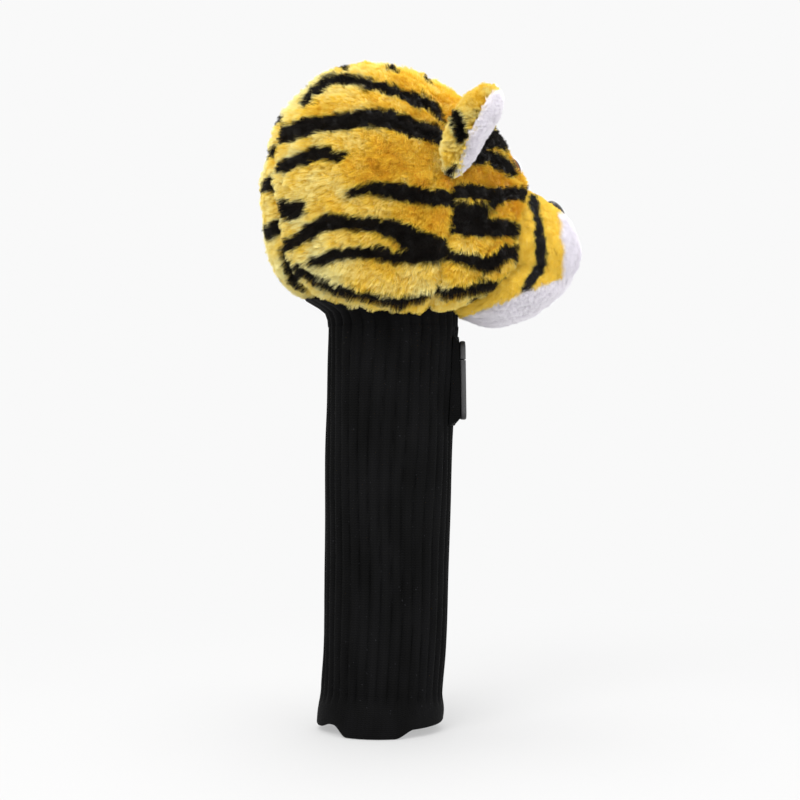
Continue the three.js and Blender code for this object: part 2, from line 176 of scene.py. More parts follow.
def vertex_normals(points, faces):
    a, b, c = points[faces[:, 0]], points[faces[:, 1]], points[faces[:, 2]]
    across = np.cross(b - a, c - a)
    normals = np.zeros_like(points)
    for corner in range(3):
        np.add.at(normals, faces[:, corner], across)
    return normals / np.maximum(np.linalg.norm(normals, axis=1), 1e-9)[:, None]


def grid_faces(rows, columns, closed):
    """Quads over a grid of points stored row by row. A closed grid joins its last column to its first."""
    used = columns if closed else columns - 1
    row, column = np.meshgrid(np.arange(rows - 1), np.arange(used), indexing="ij")
    here = (row * columns + column).ravel()
    beside = (row * columns + (column + 1) % columns).ravel()
    return np.stack([here, beside, beside + columns, here + columns], axis=1)


def keep_faces(points, faces, wanted, *extras):
    """Drops the other faces and the points that only they used."""
    faces = faces[wanted]
    used = np.unique(faces)
    index = np.full(len(points), -1)
    index[used] = np.arange(len(used))
    return (points[used], index[faces], *[e[used] for e in extras])


def rim_of(faces):
    """The edges that only one face uses, in that face's direction."""
    sides = faces.shape[1]
    edges = np.concatenate([faces[:, [i, (i + 1) % sides]] for i in range(sides)])
    keys = np.sort(edges, axis=1)
    _, index, counts = np.unique(keys, axis=0, return_index=True, return_counts=True)
    return edges[index[counts == 1]]


def give_back(points, faces, offset):
    """Closes an open sheet with a copy of itself moved by offset, and a wall round its rim."""
    count = len(points)
    rim = rim_of(faces)
    wall = np.stack([rim[:, 1], rim[:, 0], rim[:, 0] + count, rim[:, 1] + count], axis=1)
    back = faces[:, ::-1] + count
    return np.concatenate([points, points + offset]), [*faces.tolist(), *back.tolist(), *wall.tolist()]


def add_object(name, data):
    made = bpy.data.objects.new(name, data)
    bpy.context.collection.objects.link(made)
    return made


def make_object(name, points, faces, materials):
    mesh = bpy.data.meshes.new(name)
    mesh.from_pydata(to_row(points).tolist(), [], [list(f) for f in faces])
    mesh.validate()
    mesh.shade_smooth()
    mesh.set_sharp_from_angle(angle=SHARP)
    for material in materials:
        mesh.materials.append(material)
    return add_object(name, mesh)


def set_pattern(made, u, v):
    """Stores two numbers a point in a UV map, which skin and pile both read."""
    layer = made.data.uv_layers.new(name="pattern")
    corner_points = np.zeros(len(made.data.loops), dtype=int)
    made.data.loops.foreach_get("vertex_index", corner_points)
    pairs = np.stack([u[corner_points], v[corner_points]], axis=1)
    layer.data.foreach_set("uv", pairs.astype(np.float32).ravel())


def set_stripes(made, outside, tone):
    """Stores millimetres outside the stripes and the tone, on a piece that give_back has doubled."""
    u = np.clip(0.5 + np.tile(outside, 2) / PATTERN_SPAN, 0, 1)
    set_pattern(made, u, np.clip(np.tile(tone, 2), 0, 1))


def finish_piece(made, body, node):
    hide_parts(node)
    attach(made, body)


def finish_bending(made, node):
    """Finishes a piece that spans the head and another body: hides its part and bakes its placement into
    its mesh, without parenting it.
    """
    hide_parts(node)
    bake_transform(made)


# ----- Head outline -----


def on_head(directions, inset=0.0):
    """Unit directions to the head's outline, or to a layer inset below it."""
    x, y, level = directions.T
    ring = np.maximum(np.hypot(x, y), 1e-6)
    blunt = np.where(x > 0, HEAD["face_bluntness"], 2.0)
    corner = ring * np.maximum(np.abs(x) ** blunt + np.abs(y) ** blunt, 1e-15) ** (-1 / blunt)
    swell = corner * np.where(level < 0, ring ** (HEAD["jowls"] - 1), 1)
    drop = np.maximum(0, -level) ** HEAD["jowls"]
    across = y * swell
    shift = np.where(level > 0, HEAD["crown_shift"] * level, HEAD["chin_shift"] * drop)
    out_x = HEAD_X + shift + x * swell * (HEAD["half_length"] - inset)
    out_y = across * (HEAD["half_width"] - inset)
    rise = np.where(level > 0, level * (HEAD["up"] - inset), -drop * (HEAD["down"] - inset))
    out_z = HEAD["widest_z"] + rise - HEAD["side_sag"] * drop * across**2
    return np.stack([out_x, out_y, out_z], axis=1)


def outside_head(points):
    """Roughly how many millimetres each point lies outside the head's outline."""
    x, y, z = points.T
    across = y / HEAD["half_width"]
    above = z > HEAD["widest_z"]
    level = np.clip((z - HEAD["widest_z"]) / HEAD["up"], 0, 2)
    drop = np.clip((HEAD["widest_z"] - z) / (HEAD["down"] + HEAD["side_sag"] * across**2), 0, 2)
    ring_above = np.maximum(1 - level**2, 1e-4) ** (1 / 2)
    ring_below = np.maximum(1 - drop**3, 1e-4) ** (1 / 3)
    ring = np.where(above, ring_above, ring_below)
    shift = np.where(above, HEAD["crown_shift"] * level, HEAD["chin_shift"] * drop)
    along = (x - HEAD_X - shift) / (HEAD["half_length"] * ring)
    across = across / ring
    blunt = np.where(along > 0, HEAD["face_bluntness"], 2.0)
    reach = (np.abs(along) ** blunt + np.abs(across) ** blunt) ** (1 / blunt)
    return np.where((level > 1) | (drop > 1), 40, (reach - 1) * HEAD["half_width"] * ring)


def curve_at(curve, z):
    """The first coordinate, at a height, of a curve that bends once towards its middle point."""
    (start, top_z), (pull, pull_z), (end, low_z) = curve
    fall = top_z - pull_z
    bend = top_z - 2 * pull_z + low_z
    t = (fall - np.sqrt(np.maximum(fall**2 - bend * (top_z - z), 0))) / bend
    return start * (1 - t) ** 2 + 2 * pull * t * (1 - t) + end * t**2


def ahead_of_ears(points):
    """How far points lie ahead of the seam that crosses the head over the ears."""
    return points[:, 0] - curve_at(EAR_SEAM, points[:, 2])


def inside_nape(points):
    """How far points lie inside the almond panel at the back, negative outside it."""
    x, y, z = points.T
    top_z = NAPE_SEAM[0][1]
    half_width = np.where(z > top_z, top_z - z, curve_at(NAPE_SEAM, z))
    return np.where(x < NAPE_FRONT_X, half_width - np.abs(y), -40)


def snout_distance(points):
    """Roughly how far points lie outside the muzzle and the jaw."""
    gaps = []
    for form in (MUZZLE, JAW):
        local = (points - form["centre"]) @ turn_y(form["tilt"])
        gaps.append((np.linalg.norm(local / form["radii"], axis=1) - 1) * min(form["radii"]))
    return np.minimum(*gaps)


def on_snout(directions, inset=0.0):
    """Unit directions to the outline that the muzzle and the jaw share, or to a layer inset below it."""
    reaches = []
    for form in (MUZZLE, JAW):
        radii = np.array(form["radii"], float) - inset
        from_middle = (np.array(SNOUT_MIDDLE) - form["centre"]) @ turn_y(form["tilt"]) / radii
        ahead = directions @ turn_y(form["tilt"]) / radii
        square = (ahead**2).sum(axis=1)
        half = ahead @ from_middle
        reaches.append((np.sqrt(half**2 + square * (1 - from_middle @ from_middle)) - half) / square)
    blend = 40  # softens the crease between the two
    reach = (reaches[0] ** blend + reaches[1] ** blend) ** (1 / blend)
    return directions * reach[:, None] + SNOUT_MIDDLE


def above_mouth(points):
    slope = math.radians(MOUTH["tilt"])
    ahead, above = points[:, 0] - MOUTH["x"], points[:, 2] - MOUTH["z"]
    return above * math.cos(slope) - ahead * math.sin(slope)


# ----- Stripes -----
# Each is its widths, then a line drawn on the head as seen from the side, as X and Z.

SIDE_STRIPES = {
    "crown": ([7, 5, 5, 5.5, 7, 5],
        [(-50, 376), (-40, 383), (-25, 385), (-4, 381), (16, 375), (27, 371), (35, 363)]),
    "temple": ([11, 10, 8, 9.5, 10, 8],
        [(-68, 354), (-47, 358), (-25, 360), (-9, 362), (1, 361), (13, 357), (30, 352)]),
    "cheek_back": ([6, 7, 7, 5, 1.5], [(-67, 332), (-54, 336), (-39, 342), (-31, 339), (-24, 340)]),
    "under_ear": ([3, 6, 9, 8.5, 9.5], [(-23, 317), (-9, 320), (8, 317), (27, 315), (40, 314)]),
    "back_dash": ([8, 9, 7], [(-68, 308), (-60, 306), (-53, 308)]),
    "arch": ([5, 7, 8, 7, 8, 13, 15, 12],
        [(-63, 284), (-50, 291), (-37, 299), (-23, 299), (-4, 297), (9, 292), (21, 287), (32, 283)]),
    "under_arch": ([4, 6, 7, 6, 9, 11],
        [(-45, 275), (-29, 280), (-9, 281), (8, 278), (20, 280), (28, 281)]),
    "hem_line": ([4, 4, 5, 4.5, 5, 4],
        [(-54, 272), (-44, 264), (-29, 257), (-11, 253), (8, 249), (23, 253)]),
    "back_hook": ([5, 4, 6], [(-62, 276), (-60, 266), (-57, 258)]),
    "back_hook_arm": ([4, 5], [(-54, 269), (-57, 258)]),
    "crown_dots": ([1.5, 1.5], [(-27, 394), (-24, 393)]),
    "crown_dash": ([0.2, 0.2], [(1, 393), (6, 392)]),
    "crown_tick": ([1, 0.5], [(24, 388), (28, 385)]),
}
FACE_STRIPES = {
    "brow": ([6, 10, 9], [(55, 345), (64, 350), (72, 349)]),
    "brow_bar": ([4, 7, 8, 6], [(49, 336), (58, 339), (68, 337), (77, 331)]),
    "eye_bar": ([6, 7.5, 8, 6], [(36, 317.5), (52, 318), (64, 316.5), (84, 317)]),
    "eye_bar_link": ([5, 6, 6], [(69, 314), (62, 310), (50, 303)]),
    "cheek_block": ([16, 16.5, 14], [(40, 301), (47, 300.5), (55, 300.5)]),
    "cheek_bar": ([11, 9, 5.5], [(53, 297), (68, 296), (85, 294)]),
    "jowl_bar": ([6, 7, 9, 7.5, 9], [(36, 279), (52, 277), (63, 274), (73, 281), (82, 280)]),
    "throat_bar": ([4, 5, 5.5, 6.5, 5], [(28, 261), (33, 254), (46, 257), (58, 259), (67, 259)]),
    "throat_tip": ([4, 2.5], [(67, 259), (78, 266)]),
    "throat_dash": ([4, 4], [(52, 247), (58, 250)]),
}
BAND_STRIPES = {
    "snout_edge": ([3, 3.5, 5, 5, 3], [(86, 312), (89.5, 298), (90.5, 281), (89.5, 271), (82, 259)]),
}
# On the back panel the lines are drawn as seen from behind, as Y and Z.
NAPE_STRIPES = {
    "high": ([8, 6, 3], [(-30, 336), (-18, 340), (-6, 338)]),
    "high_left": ([8, 6, 3], [(30, 345), (18, 348), (8, 345)]),
    "middle": ([8, 7, 4], [(-38, 314), (-24, 318), (-8, 315)]),
    "middle_left": ([8, 7, 4], [(38, 322), (24, 327), (11, 323)]),
    "low": ([8, 7, 4], [(-38, 293), (-22, 290), (-10, 294)]),
    "low_left": ([8, 7, 4], [(38, 298), (24, 301), (10, 296)]),
    "hook": ([5, 5, 6], [(-35, 277), (-33, 267), (-26, 257)]),
    "hook_left": ([7, 5, 3], [(33, 273), (20, 274), (6, 266)]),
    "top": ([5, 4], [(-8, 361), (7, 362)]),
}
# On the back of an ear they run round its edge, as depth and height on the ear.
EAR_STRIPES = {
    "smudge": ([3.5, 4.5, 3.5], [(-16, 3), (-10, -2), (-4, -10)]),
    "root": ([3, 3], [(-3, -28), (-1, -25)]),
}


def rounded(line, steps=6):
    """A smooth curve through the line's points, as (point, share of the line) rows."""
    line = np.array(line, float)
    padded = np.concatenate([[2 * line[0] - line[1]], line, [2 * line[-1] - line[-2]]])
    rows = []
    for i in range(len(line) - 1):
        p0, p1, p2, p3 = padded[i : i + 4]
        for t in np.arange(steps) / steps:
            bend = 2 * p1 + (p2 - p0) * t + (2 * p0 - 5 * p1 + 4 * p2 - p3) * t**2
            rows.append((*(bend + (3 * p1 - p0 - 3 * p2 + p3) * t**3) / 2, (i + t) / (len(line) - 1)))
    rows.append((*line[-1], 1.0))
    return np.array(rows)


INK_SPREAD = 1.0  # the pile beside a stripe half covers it, so it is printed wider


def outside_stripes(flat_points, stripes):
    """How far each flat point lies outside the nearest stripe, in millimetres."""
    nearest = np.full(len(flat_points), PATTERN_SPAN / 2)
    for widths, line in stripes.values():
        rows = rounded(line)
        shares = np.linspace(0, 1, len(widths))
        for start, end in zip(rows[:-1], rows[1:]):
            along = end[:2] - start[:2]
            t = np.clip((flat_points - start[:2]) @ along / max(along @ along, 1e-9), 0, 1)
            gap = np.linalg.norm(flat_points - start[:2] - t[:, None] * along, axis=1)
            half = np.interp(start[2] + t * (end[2] - start[2]), shares, widths) / 2
            nearest = np.minimum(nearest, gap - half - INK_SPREAD)
    return nearest


def seen_from_side(points):
    """X and Z of each point as they line up, from level with the cover's middle, on its centre plane."""
    spread = VIEW_DISTANCE / (VIEW_DISTANCE - np.abs(points[:, 1]))
    return VIEW_MIDDLE + (points[:, [0, 2]] - VIEW_MIDDLE) * spread[:, None]


# ----- Materials -----


def colour(text):
    """An sRGB colour such as "#e8b830" in linear light."""
    parts = [int(text[i : i + 2], 16) / 255 for i in (1, 3, 5)]
    return tuple(p / 12.92 if p <= 0.04045 else ((p + 0.055) / 1.055) ** 2.4 for p in parts) + (1.0,)


class Look:
    """A node material, built one node at a time. Inputs are values, "#" colours or nodes' outputs."""

    def __init__(self, name, **settings):
        self.material = bpy.data.materials.new(name)
        self.material.use_nodes = True
        self.tree = self.material.node_tree
        self.shader = self.tree.nodes["Principled BSDF"]
        self.set(settings)

    def feed(self, socket, value):
        if isinstance(value, bpy.types.NodeSocket):
            self.tree.links.new(value, socket)
        else:
            socket.default_value = colour(value) if isinstance(value, str) else value

    def set(self, inputs):
        for key, value in inputs.items():
            self.feed(self.shader.inputs[key], value)

    def node(self, kind, inputs, output=0, **settings):
        made = self.tree.nodes.new(kind)
        for key, value in settings.items():
            setattr(made, key, value)
        for key, value in inputs.items():
            self.feed(made.inputs[key], value)
        return made.outputs[output]

    def place(self, scale, turned=(0, 0, 0)):
        """Object coordinates, stretched by a scale along each axis."""
        coordinates = self.node("ShaderNodeTexCoord", {}, "Object")
        return self.node("ShaderNodeMapping", {"Vector": coordinates, "Rotation": turned, "Scale": scale})

    def noise(self, scale, detail=3.0, rough=0.55, turned=(0, 0, 0)):
        """Noise with so many spots a metre, or with its own number along each axis."""
        where = self.place(scale if isinstance(scale, tuple) else (scale, scale, scale), turned)
        inputs = {"Vector": where, "Scale": 1.0, "Detail": detail, "Roughness": rough}
        return self.node("ShaderNodeTexNoise", inputs)

    def fibres(self):
        return self.noise(FIBRE_SCALE, detail=4.0, turned=FIBRE_TURN)

    def math(self, operation, a, b=0.0):
        return self.node("ShaderNodeMath", {0: a, 1: b}, operation=operation)

    def add(self, a, b):
        return self.math("ADD", a, b)

    def times(self, a, b):
        return self.math("MULTIPLY", a, b)

    def span(self, value, low, high, to_low=0.0, to_high=1.0):
        inputs = {"Value": value, "From Min": low, "From Max": high, "To Min": to_low, "To Max": to_high}
        return self.node("ShaderNodeMapRange", inputs)

    def mix(self, share, a, b, blend="MIX"):
        inputs = {0: share, 6: a, 7: b}
        return self.node("ShaderNodeMix", inputs, 2, data_type="RGBA", blend_type=blend)

    def bump(self, height, depth, strength):
        inputs = {"Height": height, "Distance": depth, "Strength": strength}
        return self.node("ShaderNodeBump", inputs)

    def stored(self):
        """The two numbers that set_pattern stored."""
        pair = self.node("ShaderNodeUVMap", {}, uv_map="pattern")
        split = self.tree.nodes.new("ShaderNodeSeparateXYZ")
        self.feed(split.inputs[0], pair)
        return split.outputs[0], split.outputs[1]

    def pattern(self):
        """Millimetres outside the stripes, and the tone."""
        outside, tone = self.stored()
        return self.times(self.math("SUBTRACT", outside, 0.5), PATTERN_SPAN), tone

    def hair(self, name):
        return self.tree.nodes.new("ShaderNodeHairInfo").outputs[name]


# Fibres lie back and down, so fine detail is drawn out along that direction.
FIBRE_SCALE = (1500, 1500, 330)
FIBRE_TURN = (0, math.radians(-28), 0)


def yellow_tone(look, tone):
    """Golden pile between an orange, which is painted shade like that in the pile's partings, and a pale
    straw.
    """
    shade_to_gold = look.mix(look.span(tone, 0.0, 0.5), "#dea422", "#f5d746")
    return look.mix(look.span(tone, 0.5, 1.0), shade_to_gold, "#f5edae")


def striped_colour(look, jitter, tone):
    outside, _ = look.pattern()
    edge = look.span(look.add(outside, jitter), -0.45, 0.45)
    return look.mix(edge, "#14100d", yellow_tone(look, tone))


def striped_skin():
    look = Look("striped_pile_base", Roughness=0.85)
    fibres = look.fibres()
    tufts = look.noise((190, 190, 110), turned=FIBRE_TURN)
    _, tone = look.pattern()
    # Fibre streaks and tufts shift the tone towards the orange painted shade and the straw.
    tone = look.add(tone, look.span(fibres, 0.3, 0.7, -0.2, 0.2))
    tone = look.add(tone, look.span(tufts, 0.3, 0.7, -0.16, 0.16))
    jitter = look.add(look.span(fibres, 0.2, 0.8, -1.3, 1.3), look.span(tufts, 0.2, 0.8, -1.6, 1.6))
    # Painted shade and highlight at fibre scale: the base is darkened in the dips of the fibre streaks
    # and a little lightened on their tops.
    shade = look.span(fibres, 0.3, 0.75, 0.72, 1.1)
    grey = look.node("ShaderNodeCombineColor", dict.fromkeys((0, 1, 2), shade))
    base = look.mix(1.0, striped_colour(look, jitter, tone), grey, "MULTIPLY")
    height = look.add(look.times(tufts, 2.0), fibres)
    look.set({"Base Color": base, "Normal": look.bump(height, 0.0009, 0.8)})
    look.set({"Sheen Weight": 0.35, "Sheen Roughness": 0.5})
    return look.material


def striped_fibre():
    look = Look("striped_pile_fibre", Roughness=0.5)
    _, tone = look.pattern()
    luck = look.hair("Random")
    tone = look.add(tone, look.span(luck, 0, 1, -0.22, 0.22))
    # Painted shade at the roots: each strand is more orange near the skin and paler at its tip.
    tone = look.add(tone, look.span(look.hair("Intercept"), 0, 1, -0.3, 0.12))
    jitter = look.span(luck, 0, 1, -0.9, 0.9)
    look.set({"Base Color": striped_colour(look, jitter, tone), "Specular IOR Level": 0.2})
    return look.material


def plush_skin(name, main, shaded):
    look = Look(name, Roughness=0.9)
    fibres = look.noise((1300, 1300, 700), detail=4.0)
    clouds = look.noise(90, detail=2.0)
    # Painted shade: in random clouds and fibre streaks the shaded copy of the colour shows where this
    # share is low.
    painted_light_share = look.add(look.span(fibres, 0.3, 0.7, -0.3, 0.3), look.span(clouds, 0.3, 0.7, 0.2, 0.8))
    base = look.mix(painted_light_share, shaded, main)
    look.set({"Base Color": base, "Normal": look.bump(fibres, 0.0004, 0.6), "Sheen Weight": 0.4})
    return look.material


def plain_fibre(tip, root):
    look = Look("white_plush_fibre", Roughness=0.6)
    # Painted shade at the roots: each strand runs from the greyer root colour near the skin to the whiter
    # tip.
    shade = look.add(look.times(look.hair("Intercept"), 0.8), look.times(look.hair("Random"), 0.2))
    look.set({"Base Color": look.mix(shade, root, tip), "Specular IOR Level": 0.3})
    return look.material


def snout_skin(fibre):
    """The snout's pile is printed: gold behind, white in front, and a stripe along its edge."""
    look = Look("snout_pile_fibre" if fibre else "snout_pile_base", Roughness=0.6 if fibre else 0.85)
    outside, white = look.pattern()
    if fibre:
        fine = look.span(look.hair("Random"), 0, 1, -1, 1)
    else:
        fine = look.span(look.fibres(), 0.25, 0.75, -1, 1)
        look.set({"Normal": look.bump(fine, 0.0004, 0.7), "Sheen Weight": 0.35})
    gold = yellow_tone(look, look.add(look.times(fine, 0.15), 0.5))
    fade = look.span(look.add(white, look.times(fine, 0.12)), 0.35, 0.65)
    edge = look.span(look.add(outside, look.times(fine, 0.8)), -0.45, 0.45)
    look.set({"Base Color": look.mix(edge, "#0d0a09", look.mix(fade, gold, "#efecf2"))})
    return look.material


def knit_skin():
    """Black rib knit: rows of small loops, a little lint and a soft sheen."""
    look = Look("black_rib_knit", Roughness=0.82)
    around, along = look.stored()
    wale = look.math("ABSOLUTE", look.math("SINE", look.times(around, math.pi)))
    lift = look.add(look.times(along, 2 * math.pi), look.times(wale, -2.2))
    course = look.times(look.math("SINE", lift), 0.5)
    cloud = look.noise((60, 60, 25), detail=2.0)
    stitch = look.add(look.times(wale, 0.5), course)
    height = look.add(stitch, look.times(look.noise(1700), 0.9))
    # Painted shade and highlight: stitches are lighter on the loops' tops and darker in the dips; the
    # cloud adds a random tone.
    light = look.add(look.span(stitch, -0.3, 1.0, 0.0, 0.35), look.span(cloud, 0.35, 0.65, 0, 0.65))
    base = look.mix(light, "#020202", "#0b0b0c")
    lint = look.span(look.noise(620, detail=1.0), 0.74, 0.78)
    base = look.mix(look.times(lint, 0.3), base, "#38383c")
    look.set({"Base Color": base, "Normal": look.bump(height, 0.0002, 0.6), "Specular IOR Level": 0.08})
    return look.material


def soft_inside(name, main, shaded, size):
    look = Look(name, Roughness=0.9)
    fluff = look.noise(size, detail=5.0, rough=0.65)
    base = look.mix(look.span(fluff, 0.3, 0.7), shaded, main)
    look.set({"Base Color": base, "Normal": look.bump(fluff, 0.001, 0.7)})
    return look.material


def tag_rubber():
    look = Look("grey_tag_rubber", Roughness=0.55)
    wear = look.noise((70, 70, 45), detail=4.0)
    base = look.mix(look.span(wear, 0.35, 0.7), "#2a2a2b", "#3a3a3c")
    look.set({"Base Color": base, "Roughness": look.span(wear, 0.3, 0.7, 0.48, 0.66)})
    look.set({"Normal": look.bump(look.noise(2600), 0.00012, 0.5)})
    return look.material


def eye_plastic():
    """An amber eye with a round black pupil and a dark rim, under a clear gloss."""
    look = Look("amber_eye", Roughness=0.08)
    rings, _ = look.pattern()
    streaks = look.noise(900, detail=2.0)
    iris = look.mix(look.span(streaks, 0.35, 0.65), "#4a2606", "#8a5214")
    pupil = look.span(rings, 4.2, 4.5)
    rim = look.span(rings, 5.9, 6.3)
    base = look.mix(rim, look.mix(pupil, "#070606", iris), "#0b0806")
    look.set({"Base Color": base, "Specular IOR Level": 0.1, "Coat Weight": 0.6, "Coat Roughness": 0.03})
    return look.material


def dark_plastic():
    look = Look("black_nose", Roughness=0.38)
    pores = look.node("ShaderNodeTexVoronoi", {"Vector": look.place((900, 900, 900)), "Scale": 1.0})
    base = look.mix(look.noise(300), "#0a0909", "#1d1a1a")
    look.set({"Base Color": base, "Normal": look.bump(pores, 0.0003, 0.5)})
    return look.material


def pale_plastic():
    look = Look("washer_plastic", Roughness=0.45)
    cast = look.noise(500)
    base = look.mix(cast, "#d8d7d0", "#f0efe9")
    look.set({"Base Color": base, "Normal": look.bump(cast, 0.0001, 0.4)})
    return look.material


LOOKS = {
    "fur": [striped_skin(), striped_fibre()],
    "snout": [snout_skin(False), snout_skin(True)],
    "white": [plush_skin("white_plush_base", "#f7f5f8", "#e2dee5"), plain_fibre("#fbf9fc", "#e0dce4")],
    "knit": [knit_skin()],
    "fill": [soft_inside("fibrefill", "#f4f3ee", "#cfcdc4", 260)],
    "lining": [soft_inside("brushed_lining", "#303034", "#1c1c20", 1300)],
    "elastic": [soft_inside("woven_elastic", "#e4dfd2", "#b8b2a2", 900)],
    "rubber": [tag_rubber()],
    "eye": [eye_plastic()],
    "nose": [dark_plastic()],
    "washer": [pale_plastic()],
}


# ----- Pile -----


STRANDS_A_GUIDE = 24
PILE_SETTINGS = {
    "type": "HAIR",
    "use_advanced_hair": True,
    "distribution": "RAND",
    "use_even_distribution": True,
    "render_step": 3,
    "display_step": 2,
    "child_type": "INTERPOLATED",
    "rendered_child_count": STRANDS_A_GUIDE,
    "child_percent": 0,
    "clump_factor": 0.1,
    "clump_shape": 0.2,
    "roughness_1": 0.0003,
    "roughness_1_size": 0.006,
    "roughness_endpoint": 0.0005,
    "roughness_2": 0.0005,
    "roughness_2_size": 0.002,
    "radius_scale": 1.0,
}


def add_pile(made, length, strands, seed, lean, thickness=COARSE, full=None):
    """Combed fibres over the outer face of a piece that give_back has doubled.

    Lean is which way they lie, beside one unit along the normal. Full gives the share of the whole
    length that fibres have at each point of that face.
    """
    group = made.vertex_groups.new(name="pile")
    group.add(list(range(len(made.data.vertices) // 2)), 1.0, "REPLACE")
    system = made.modifiers.new("pile", "PARTICLE_SYSTEM").particle_system
    system.seed = seed
    system.vertex_group_density = "pile"
    if full is not None:
        shorter = made.vertex_groups.new(name="length")
        for index, share in enumerate(full):
            shorter.add([index], float(share), "REPLACE")
        system.vertex_group_length = "length"
    pile = system.settings
    for name, value in PILE_SETTINGS.items():
        setattr(pile, name, value)
    pile.count = max(20, int(strands / STRANDS_A_GUIDE))
    speed = length * MM / 4  # a strand is four times as long as its starting speed
    share = 1 / math.sqrt(1 + sum(v * v for v in lean))
    pile.normal_factor = speed * share
    pile.object_align_factor = [v * speed * share for v in lean]
    pile.factor_random = speed * 0.28
    pile.root_radius = thickness * MM
    pile.tip_radius = thickness * MM * 0.35
    pile.material = len(made.data.materials)


# ----- Striped head panels -----

DIRECTIONS, SPHERE = unit_sphere(7)
OUTLINE = on_head(DIRECTIONS)
OUTWARD = vertex_normals(OUTLINE, SPHERE)
HEAD_STRANDS = 340000  # for a head without openings


def near(distance, width):
    """1 on a line, falling to 0 a few widths away."""
    return np.exp(-((distance / width) ** 2))


def fur_relief(points, partings):
    """How far the backing rises or falls: seams are pulled in and the pile stands in tufts."""
    tufts = 0.55 * lumps(points, 9, 11, (1, 1, 1.6)) + 0.4 * lumps(points, 5, 12, (1, 1, 1.5))
    slack = 0.7 * lumps(points, 38, 13)
    return slack + tufts * (1 - partings) - 2.2 * partings


def head_tone(points):
    """0 is orange (painted shade), 0.5 gold and 1 straw: paler towards the back, the underside and here
    and there, and painted paler on the crown as sheen.
    """
    pale = 0.34 * ramp(-points[:, 0], -10, 75) + 0.2 * ramp(-points[:, 2], -300, -250)
    # Painted sheen: the crown is made paler, as if lit from above.
    pale = pale + 0.16 * ramp(points[:, 2], 350, 385)
    patches = 0.13 * lumps(points, 30, 21) + 0.11 * lumps(points, 11, 22)
    return np.clip(0.42 + pale + patches - 0.1 * ramp(points[:, 0], 10, 70), 0, 1)


def head_panels():
    x, y, z = OUTLINE.T
    seam = ahead_of_ears(OUTLINE)
    nape = inside_nape(OUTLINE)
    snout = np.maximum(snout_distance(OUTLINE), 0)
    behind = np.where(seam < 0, nape, -40)
    middle_seam = near(y, 2.2) * 0.8 * (nape < 0)
    partings = np.maximum.reduce([near(seam, 3), near(behind, 3), middle_seam, near(snout, 4)])
    partings *= 1 - 0.6 * ramp(z, 350, 380)
    relief = fur_relief(OUTLINE, partings) - 1.0 * ramp(-z, -257, -244)
    # The upper back and the crown are flatter than the rest.
    facing = OUTWARD[:, [0, 2]] / np.maximum(np.hypot(OUTWARD[:, 0], OUTWARD[:, 2]), 0.01)[:, None]
    upper_back = ramp(facing @ UPPER_BACK["facing"], 0.8, 0.96)
    relief -= UPPER_BACK["press"] * upper_back * ramp(-np.abs(OUTWARD[:, 1]), -0.9, -0.5)
    relief -= CROWN_PRESS * ramp(OUTWARD[:, 2], 0.85, 1)
    # Fibres that lean the way the surface faces would stand too far out.
    full = (1 - 0.45 * partings) / (1 + np.maximum(0, OUTWARD @ HEAD_LEAN))
    points = OUTLINE + OUTWARD * (relief - PILE)[:, None]

    side_view = seen_from_side(OUTLINE)
    wobble = 0.7 * lumps(OUTLINE, 7, 31) + 0.5 * lumps(OUTLINE, 3.2, 32)
    left_shift = np.array([4.0, -3.0]) * (y > 0)[:, None]
    side = outside_stripes(side_view - left_shift, SIDE_STRIPES)
    face = outside_stripes(side_view, FACE_STRIPES)
    back = outside_stripes(OUTLINE[:, 1:], NAPE_STRIPES)
    eye_gap = np.linalg.norm(np.stack([x, -np.abs(y), z], axis=1) - on_head(EYE_DIRECTION)[0], axis=1)
    # Stripes keep clear of the eyes, which have a thin dark ring of their own.
    face = np.maximum(face, EYE["clear"] - eye_gap)
    face = np.minimum(face, eye_gap - EYE["radius"] - EYE["ring"])
    full = full * ramp(eye_gap, EYE["radius"] - 2, EYE["radius"] + 2.5)
    socket = 1 - ramp(eye_gap, EYE["radius"] - 1, EYE["radius"] + 1.5)
    points = points - OUTWARD * (4 * socket)[:, None]
    tone = head_tone(OUTLINE)

    middle = OUTLINE[SPHERE].mean(axis=1)
    x, y, z = middle.T
    open_neck = (np.hypot(x - NECK_HOLE["x"], y) < NECK_HOLE["radius"]) & (z < HEAD["widest_z"])
    hidden = (snout_distance(middle) < -8) | open_neck
    ahead = ahead_of_ears(middle) >= 0
    almond = ~ahead & (inside_nape(middle) >= 0)
    flank = ~ahead & ~almond
    right = y < 0
    regions = {
        "right_side_panel": (flank & right, side),
        "left_side_panel": (flank & ~right, side),
        "nape_panel": (almond, back),
        "right_face_panel": (ahead & right, face),
        "left_face_panel": (ahead & ~right, face),
    }
    for seed, (node, (wanted, stripes)) in enumerate(regions.items(), 1):
        kept = keep_faces(points, SPHERE, wanted & ~hidden, OUTWARD, stripes + wobble, tone, full)
        sheet, faces, outward, line, tones, lengths = kept
        solid, all_faces = give_back(sheet, faces, -FUR_BACK * outward)
        made = make_object(node.replace("panel", "fur"), solid, all_faces, LOOKS["fur"])
        set_stripes(made, line, tones)
        strands = HEAD_STRANDS * len(faces) / len(SPHERE)
        add_pile(made, PILE_LENGTH["head"], strands, seed, HEAD_LEAN, full=lengths)
        finish_piece(made, "head", node)


# ----- Eyes, nose and their washers -----


def direction(turn, lift):
    turn, lift = math.radians(turn), math.radians(lift)
    return np.array([[math.cos(turn) * math.cos(lift), math.sin(turn) * math.cos(lift), math.sin(lift)]])


EYE_DIRECTION = direction(EYE["turn"], EYE["lift"])


